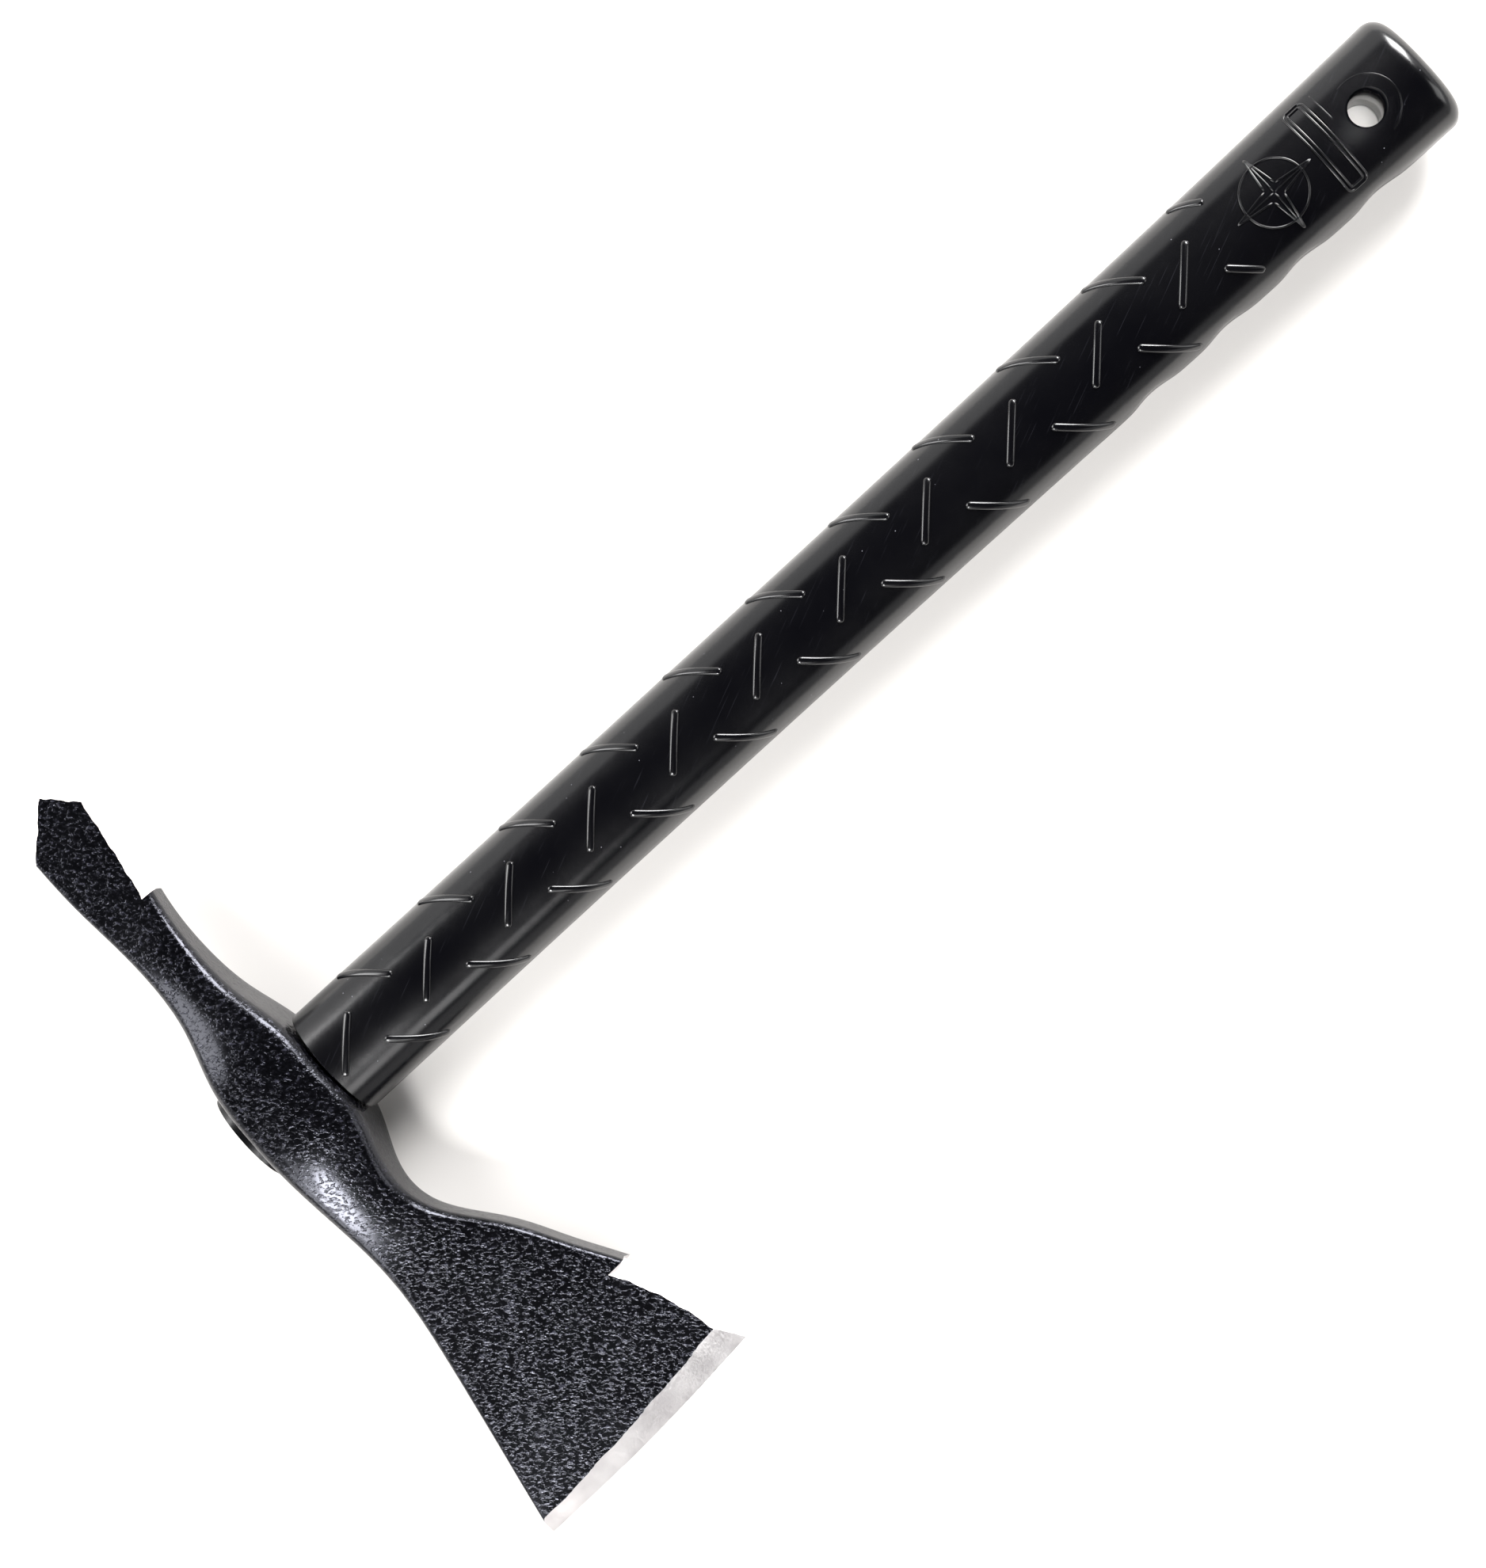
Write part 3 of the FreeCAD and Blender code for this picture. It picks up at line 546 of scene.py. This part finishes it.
# ---- EYE BOND ----
# Two-part epoxy poured round the tongue and cured in place: a dark amber sleeve
# 0.4 mm thick that shows as a thin line round the tongue, with a few trapped bubbles.
epoxy, tree, output = new_material("cured_amber_epoxy")
spot = add(tree, "ShaderNodeTexCoord").outputs["Object"]
BUBBLE, CLOUD = 0.9 * MM, 3 * MM
bubbles = add(tree, "ShaderNodeTexVoronoi", {"Vector": spot, "Scale": 1 / BUBBLE})
cloud = add(tree, "ShaderNodeTexNoise", {"Vector": spot, "Scale": 1 / CLOUD, "Detail": 3.0})
tone = ramp(tree, cloud.outputs["Fac"], (0.3, "#2a1c10"), (0.7, "#4a3420"))
gloss = ramp(tree, cloud.outputs["Fac"], (0.3, 0.12), (0.7, 0.3))
dents = add(tree, "ShaderNodeBump",
            {"Strength": 0.5, "Distance": 0.1 * MM, "Height": bubbles.outputs["Distance"]})
skin = add(tree, "ShaderNodeBsdfPrincipled", {"Base Color": tone, "Roughness": gloss,
                                              "Normal": dents.outputs["Normal"], "IOR": 1.55})
tree.links.new(skin.outputs["BSDF"], output.inputs["Surface"])
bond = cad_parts["eye_bond"]
bond.data.materials.clear()
bond.data.materials.append(epoxy)

# ---- WEDGE ----
# Mild steel wedge sheared from flat bar and hammered into the kerf; bare, dull, with
# sheared lines across it and a little brown rust in the low spots.
mild_steel, tree, output = new_material("hammered_mild_steel")
spot = add(tree, "ShaderNodeTexCoord").outputs["Object"]
SHEAR, SHEAR_RUN, BLOW = 0.3 * MM, 12, 2.5 * MM
drawn = add(tree, "ShaderNodeMapping",
            {"Vector": spot, "Scale": (1 / (SHEAR_RUN * SHEAR), 1 / SHEAR, 1 / SHEAR)})
streaks = add(tree, "ShaderNodeTexNoise",
              {"Vector": drawn.outputs["Vector"], "Scale": 1.0, "Detail": 3.0})
blows = add(tree, "ShaderNodeTexNoise", {"Vector": spot, "Scale": 1 / BLOW, "Detail": 2.0})
bare = ramp(tree, streaks.outputs["Fac"], (0.3, "#8c8d90"), (0.7, "#bfc0c2"))
rusty = ramp(tree, blows.outputs["Fac"], (0.58, 0.0), (0.72, 1.0))
tone = add(tree, "ShaderNodeMixRGB", {"Fac": rusty, "Color1": bare, "Color2": colour("#6a4a34")})
gloss = ramp(tree, streaks.outputs["Fac"], (0.3, 0.34), (0.7, 0.5))
dents = add(tree, "ShaderNodeBump",
            {"Strength": 0.5, "Distance": 0.15 * MM, "Height": blows.outputs["Fac"]})
skin = add(tree, "ShaderNodeBsdfPrincipled", {"Base Color": tone.outputs["Color"], "Metallic": 1.0,
                                              "Roughness": gloss, "Normal": dents.outputs["Normal"]})
tree.links.new(skin.outputs["BSDF"], output.inputs["Surface"])
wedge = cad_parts["wedge"]
wedge.data.materials.clear()
wedge.data.materials.append(mild_steel)

# ---- STAGE ----
# Plain pale sweep of matt paper under the axe, soft panels round it and a dim ceiling:
# black plastic shows its form only by the bright surroundings that it mirrors.
FLOOR_HALF = 4.0
floor_mesh = bpy.data.meshes.new("paper_floor")
floor_mesh.from_pydata([(-FLOOR_HALF, -FLOOR_HALF, 0), (FLOOR_HALF, -FLOOR_HALF, 0),
                        (FLOOR_HALF, FLOOR_HALF, 0), (-FLOOR_HALF, FLOOR_HALF, 0)], [], [(0, 1, 2, 3)])
floor = bpy.data.objects.new("paper_floor", floor_mesh)
bpy.context.scene.collection.objects.link(floor)
paper, tree, output = new_material("matt_white_paper")
skin = add(tree, "ShaderNodeBsdfPrincipled", {"Base Color": colour("#dbd8d5"), "Roughness": 0.85})
tree.links.new(skin.outputs["BSDF"], output.inputs["Surface"])
floor.data.materials.append(paper)

middle = Vector((0.0, 0.0, 0.0135))


def softbox(name, where, size, watts, aim=middle):
    """Rectangular soft light that faces the axe."""
    light = bpy.data.lights.new(name, "AREA")
    light.shape = "RECTANGLE"
    light.size, light.size_y = size
    light.energy = watts
    lamp = bpy.data.objects.new(name, light)
    lamp.location = where
    lamp.rotation_euler = (Vector(where) - aim).to_track_quat("Z", "Y").to_euler()
    lamp.visible_camera = False
    bpy.context.scene.collection.objects.link(lamp)


head_spot = Vector((0.16, 0.0, 0.02))
softbox("key_panel", (0.69, 0.456, 0.92), (0.25, 0.25), 10.0, head_spot)
softbox("sheen_panel", (0.457, 0.845, 0.82), (0.3, 0.3), 1.2, head_spot)
softbox("top_panel_blade", (1.2, 0.6, 0.9), (0.9, 0.9), 20)
softbox("top_panel_spike", (1.0, -1.0, 0.9), (0.9, 0.9), 24)
softbox("butt_panel_spike", (-1.2, -0.7, 0.9), (0.8, 0.8), 70)
softbox("butt_panel_blade", (-1.2, 0.8, 0.9), (0.8, 0.8), 6)

# A pin spot shines down through the cord hole on to the paper under it.
pin_place, hole_spot = Vector((-0.073, 0.034, 0.76)), Vector((-0.173, -0.011, 0.0))
pin = bpy.data.lights.new("pin_spot", "SPOT")
pin.energy, pin.shadow_soft_size = 26.0, 0.004
pin.spot_size, pin.spot_blend = math.radians(1.05), 1.0
pin_lamp = bpy.data.objects.new("pin_spot", pin)
pin_lamp.location = pin_place
pin_lamp.rotation_euler = (pin_place - hole_spot).to_track_quat("Z", "Y").to_euler()
bpy.context.scene.collection.objects.link(pin_lamp)

world = bpy.data.worlds.new("studio")
world.use_nodes = True
tree = world.node_tree
background = tree.nodes["Background"]
heading = add(tree, "ShaderNodeTexCoord").outputs["Generated"]
WALL_TOP, WALL_SOFT, WALL_TILT, CEILING, SPIKE_WALL, BLADE_WALL = 0.52, 0.05, 0.12, 0.003, 1.35, 0.62
rise = add(tree, "ShaderNodeVectorMath", {0: heading, 1: (0.0, WALL_TILT, 1.0)}, operation="DOT_PRODUCT")
wall = ramp(tree, rise.outputs["Value"], (WALL_TOP - WALL_SOFT, 1.0), (WALL_TOP + WALL_SOFT, CEILING))
across = add(tree, "ShaderNodeSeparateXYZ", {"Vector": heading}).outputs["Y"]
strength = add(tree, "ShaderNodeMapRange", {"Value": across, "From Min": -1.0, "From Max": 1.0,
                                            "To Min": SPIKE_WALL, "To Max": BLADE_WALL})
tree.links.new(wall, background.inputs["Color"])
tree.links.new(strength.outputs["Result"], background.inputs["Strength"])
bpy.context.scene.world = world
bpy.context.scene.view_settings.view_transform = "Standard"

# The camera looks down from above the middle of the handle.
camera = bpy.data.objects.new("camera", bpy.data.cameras.new("camera"))
bpy.context.scene.collection.objects.link(camera)
camera.data.sensor_width = 36.0
camera.data.lens = 72.98
stand = Vector((-0.0391, 0.0484, 0.7581))
look = Vector((0.10079, -0.05646, -0.9933)).normalized()
right = Vector((-0.73423, 0.66951, -0.11255)).normalized()
up = right.cross(look)
turned = Matrix((right, up, -look)).transposed().to_4x4()
camera.matrix_world = Matrix.Translation(stand) @ turned
bpy.context.scene.camera = camera
